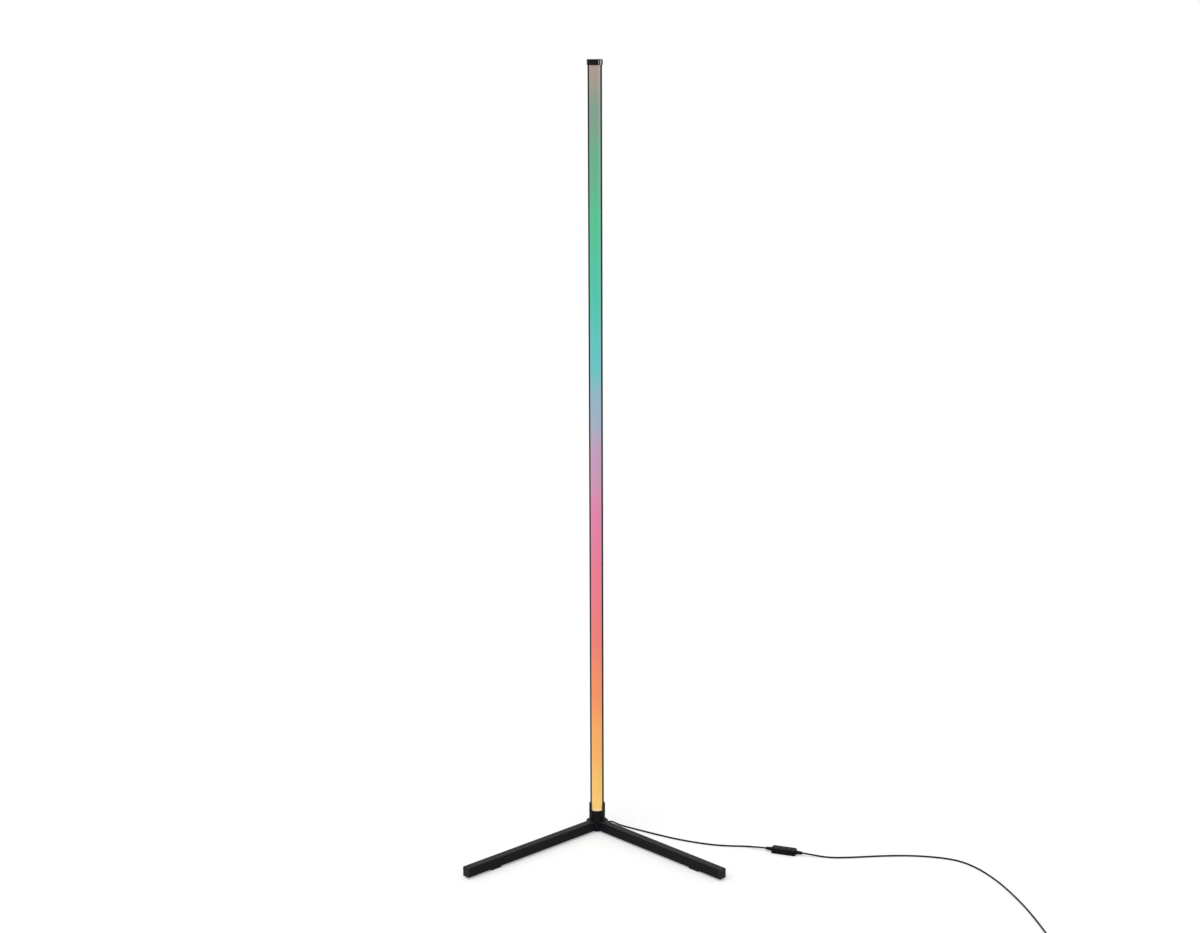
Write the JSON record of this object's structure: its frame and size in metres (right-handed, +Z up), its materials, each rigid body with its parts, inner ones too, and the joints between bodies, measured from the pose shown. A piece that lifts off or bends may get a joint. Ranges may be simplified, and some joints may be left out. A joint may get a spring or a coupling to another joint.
{
  "type": "corner floor lamp",
  "caption": "Slim corner floor lamp: an upright black channel pole with a lit opal strip, a round hub and two splayed box-tube legs, and a lead with an inline controller and a flat plug.",
  "frame": {"origin": "on the floor, on the pole's axis, under the centre of the hub", "axes": "+Z up along the pole; the light strip faces -Y, the legs run out at 45 degrees to either side of -Y, and the lead leaves the hub towards +X and +Y"},
  "size_m": [0.9825, 0.5578, 1.4],
  "materials": {
    "pole_black": "satin black powder coat",
    "hub_black": "satin black powder coat on a casting",
    "cap_gloss": "glossy black",
    "end_cap_black": "fine matt",
    "opal": "translucent opal, lit from inside",
    "board_white": "white solder mask",
    "led_lens": "clear resin",
    "connector_white": "natural nylon",
    "joiner_metal": "mill finish",
    "screw_black": "black oxide",
    "rubber_black": "soft matt",
    "cord_black": "soft sheen",
    "tie_fabric": "woven hook and loop",
    "controller_black": "fine spark texture",
    "button_grey": "soft touch",
    "circuit_green": "solder mask",
    "switch_black": "moulded",
    "plug_black": "moulded",
    "plug_metal": "nickel plated",
    "insulator_white": "moulded",
    "contact_gold": "gold flash"
  },
  "bodies": {
    "lamp": {"pole_section_1": "pole_black", "pole_section_2": "pole_black", "pole_section_3": "pole_black", "pole_section_4": "pole_black", "pole_joiner_1": "joiner_metal", "pole_joiner_2": "joiner_metal", "pole_joiner_3": "joiner_metal", "pole_screws": "screw_black", "pole_foot_plug": "joiner_metal", "socket_screw": "screw_black", "top_cap": "cap_gloss", "diffuser_strip": "opal", "led_board": "board_white", "led_packages": "led_lens", "strip_connector": "connector_white", "internal_lead": "cord_black", "base_hub": "hub_black", "hub_foot_pad": "rubber_black", "left_leg_tube": "pole_black", "left_leg_end_cap": "end_cap_black", "left_foot_pad": "rubber_black", "right_leg_tube": "pole_black", "right_leg_end_cap": "end_cap_black", "right_foot_pad": "rubber_black", "leg_screws": "screw_black", "cord_strain_relief": "cord_black", "cord_lamp_side": "cord_black", "strain_relief_in": "cord_black", "strain_relief_out": "cord_black", "controller_base": "controller_black", "controller_cover": "controller_black", "controller_board": "circuit_green", "controller_switches": "switch_black", "controller_screws": "screw_black", "cord_plug_side": "cord_black", "cord_coil": "cord_black", "coil_tie": "tie_fabric", "cord_tail": "cord_black", "plug_strain_relief": "cord_black", "plug_overmould": "plug_black", "plug_shell": "plug_metal", "plug_insulator": "insulator_white", "plug_contacts": "contact_gold"},
    "button_power": {"button_power": "button_grey"},
    "button_colour": {"button_colour": "button_grey"},
    "button_brightness": {"button_brightness": "button_grey"}
  },
  "joints": [
    {"name": "power_press", "type": "slide", "parent": "lamp", "child": "button_power", "axis": [0, 0, -1], "range_m": [0, 0.0005], "stiffness_N_per_m": 600, "springref_m": -0.0005},
    {"name": "colour_press", "type": "slide", "parent": "lamp", "child": "button_colour", "axis": [0, 0, -1], "range_m": [0, 0.0005], "stiffness_N_per_m": 600, "springref_m": -0.0005},
    {"name": "brightness_press", "type": "slide", "parent": "lamp", "child": "button_brightness", "axis": [0, 0, -1], "range_m": [0, 0.0005], "stiffness_N_per_m": 600, "springref_m": -0.0005}
  ]
}
